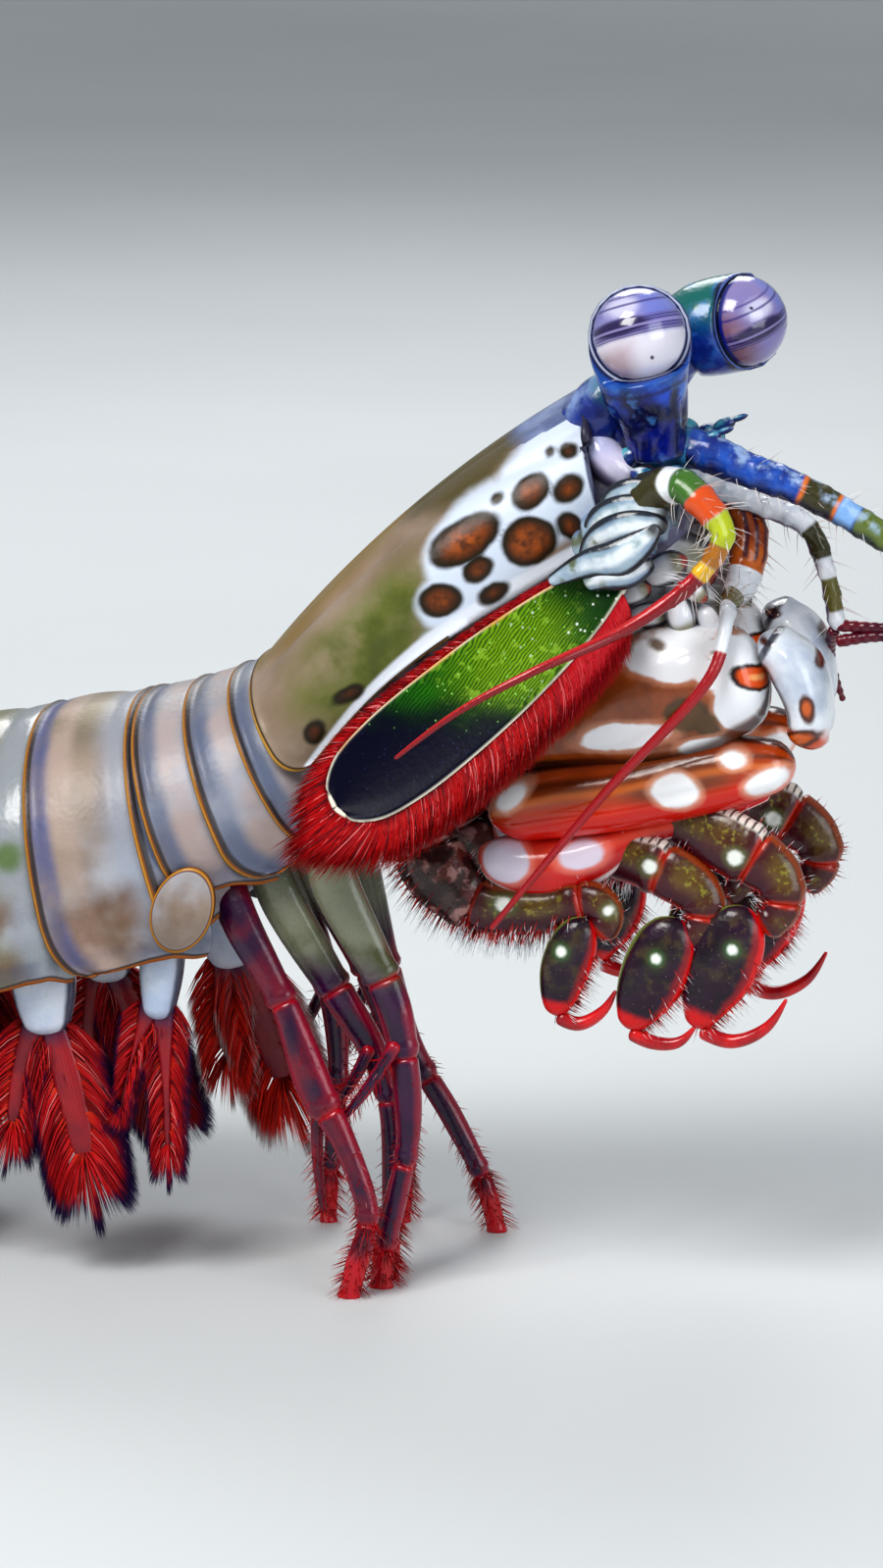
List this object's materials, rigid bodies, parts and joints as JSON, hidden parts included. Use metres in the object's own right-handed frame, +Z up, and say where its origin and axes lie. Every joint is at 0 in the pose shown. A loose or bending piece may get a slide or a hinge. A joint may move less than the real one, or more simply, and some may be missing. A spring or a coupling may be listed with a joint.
{
  "type": "mantis shrimp model",
  "caption": "Life-size still model of a peacock mantis shrimp, standing with its front raised, raptorial claws folded and tail fan resting on the floor.",
  "frame": {"origin": "middle of the bounding box's underside, on the floor", "axes": "+X the way the animal faces, +Y to its left, +Z up"},
  "size_m": [0.1356, 0.044, 0.0706],
  "materials": {
    "leopard_shell": "smooth waxy shell, tan to olive with a white front full of brown spots",
    "body_shell": "smooth waxy shell, tan grey with blue grey bands and amber rims",
    "tail_shell": "smooth olive green shell with an orange rim",
    "eye": "clear glossy lilac with dark stripes",
    "blue_flesh": "satin blue skin with pale knobs",
    "antennule": "satin blue and white with olive joints",
    "antenna": "satin red with an olive root",
    "antennal_scale": "satin green and dark blue blade with a crimson fringe",
    "claw_arm": "smooth white shell with orange brown patches",
    "club": "smooth scarlet shell with pale lilac patches",
    "maxilliped": "dark olive and plum with white spots and scarlet edges",
    "walking_leg": "plum and olive with red joints and setae",
    "swimming_leg": "pale blue root and crimson setae",
    "underside": "soft plum brown skin",
    "mouthparts": "soft white and red brown"
  },
  "bodies": {
    "root": {"carapace": "leopard_shell", "telson": "tail_shell", "head": "blue_flesh", "trunk_underside": "underside", "mouthparts": "mouthparts", "thorax_5": "body_shell", "thorax_6": "body_shell", "thorax_7": "body_shell", "thorax_8": "body_shell", "abdomen_1": "body_shell", "abdomen_2": "body_shell", "abdomen_3": "body_shell", "abdomen_4": "body_shell", "abdomen_5": "body_shell", "abdomen_6": "body_shell", "eye_right": "eye", "eye_stalk_right": "blue_flesh", "antennule_right": "antennule", "antenna_right": "antenna", "antennal_scale_right": "antennal_scale", "claw_merus_right": "claw_arm", "claw_carpus_right": "claw_arm", "claw_propodus_right": "claw_arm", "claw_dactyl_right": "club", "maxilliped_1_right": "mouthparts", "maxilliped_3_right": "maxilliped", "maxilliped_4_right": "maxilliped", "maxilliped_5_right": "maxilliped", "uropod_right": "tail_shell", "leg_6_right": "walking_leg", "leg_7_right": "walking_leg", "leg_8_right": "walking_leg", "pleopod_1_right": "swimming_leg", "pleopod_2_right": "swimming_leg", "pleopod_3_right": "swimming_leg", "pleopod_4_right": "swimming_leg", "pleopod_5_right": "swimming_leg", "eye_left": "eye", "eye_stalk_left": "blue_flesh", "antennule_left": "antennule", "antenna_left": "antenna", "antennal_scale_left": "antennal_scale", "claw_merus_left": "claw_arm", "claw_carpus_left": "claw_arm", "claw_propodus_left": "claw_arm", "claw_dactyl_left": "club", "maxilliped_1_left": "mouthparts", "maxilliped_3_left": "maxilliped", "maxilliped_4_left": "maxilliped", "maxilliped_5_left": "maxilliped", "uropod_left": "tail_shell", "leg_6_left": "walking_leg", "leg_7_left": "walking_leg", "leg_8_left": "walking_leg", "pleopod_1_left": "swimming_leg", "pleopod_2_left": "swimming_leg", "pleopod_3_left": "swimming_leg", "pleopod_4_left": "swimming_leg", "pleopod_5_left": "swimming_leg"}
  },
  "joints": []
}
